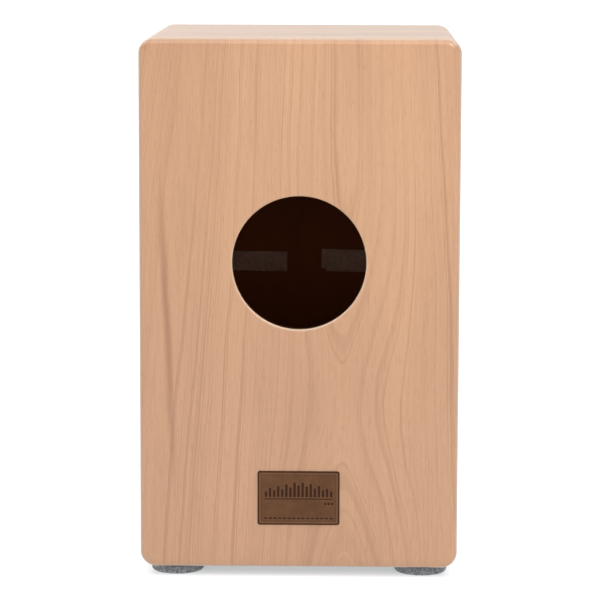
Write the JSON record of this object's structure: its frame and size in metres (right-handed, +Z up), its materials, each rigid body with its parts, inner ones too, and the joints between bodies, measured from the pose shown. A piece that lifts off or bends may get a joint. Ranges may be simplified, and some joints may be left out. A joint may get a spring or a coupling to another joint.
{
  "type": "cajon",
  "caption": "Box-shaped wooden hand drum with a thin playing plate screwed to its front, a round sound hole in its back, felt feet and a swinging snare frame inside.",
  "frame": {"origin": "on the floor under the middle of the body, which is the bottom centre of the bounding box", "axes": "+Z up, -Y towards the playing plate (tapa), +Y towards the sound hole, +X towards the seated player's left"},
  "size_m": [0.3, 0.3012, 0.509],
  "materials": {
    "beech_ply": "clear satin lacquer over rotary-cut beech veneer, vertical grain",
    "tapa_veneer": "dark brown stained veneer under clear satin lacquer",
    "raw_beech": "sanded, unlacquered",
    "badge_leather": "smooth brown leather with burnt-in lines",
    "foot_felt": "pressed mottled grey felt",
    "damper_felt": "needled grey-brown felt",
    "snare_steel": "drawn spring steel wire and strip",
    "pin_steel": "ground dowel steel",
    "screw_steel": "bright zinc plating"
  },
  "bodies": {
    "body": {"back_left_foot": "foot_felt", "back_left_foot_screw": "screw_steel", "back_panel": "beech_ply", "back_right_foot": "foot_felt", "back_right_foot_screw": "screw_steel", "badge": "badge_leather", "base_panel": "beech_ply", "front_left_foot": "foot_felt", "front_left_foot_screw": "screw_steel", "front_right_foot": "foot_felt", "front_right_foot_screw": "screw_steel", "left_bracket_lower_screw": "screw_steel", "left_bracket_upper_screw": "screw_steel", "left_damping_strip": "damper_felt", "left_rail_bracket": "raw_beech", "left_side_panel": "beech_ply", "right_bracket_lower_screw": "screw_steel", "right_bracket_upper_screw": "screw_steel", "right_damping_strip": "damper_felt", "right_rail_bracket": "raw_beech", "right_side_panel": "beech_ply", "seat_panel": "beech_ply", "tapa": "tapa_veneer", "tapa_screw_01": "screw_steel", "tapa_screw_02": "screw_steel", "tapa_screw_03": "screw_steel", "tapa_screw_04": "screw_steel", "tapa_screw_05": "screw_steel", "tapa_screw_06": "screw_steel", "tapa_screw_07": "screw_steel", "tapa_screw_08": "screw_steel", "tapa_screw_09": "screw_steel", "tapa_screw_10": "screw_steel", "tapa_screw_11": "screw_steel", "tapa_screw_12": "screw_steel", "tapa_screw_13": "screw_steel", "tapa_screw_14": "screw_steel", "tapa_screw_15": "screw_steel", "tapa_screw_16": "screw_steel"},
    "snare_frame": {"left_pivot_pin": "pin_steel", "left_snare_carpet": "snare_steel", "left_snare_inner_screw": "screw_steel", "left_snare_outer_screw": "screw_steel", "right_pivot_pin": "pin_steel", "right_snare_carpet": "snare_steel", "right_snare_inner_screw": "screw_steel", "right_snare_outer_screw": "screw_steel", "snare_rail": "raw_beech"}
  },
  "joints": [
    {"name": "snare_swing", "type": "hinge", "parent": "body", "child": "snare_frame", "pos_m": [0, -0.1375, 0.474], "axis": [1, 0, 0], "range_deg": [0, 18]}
  ]
}
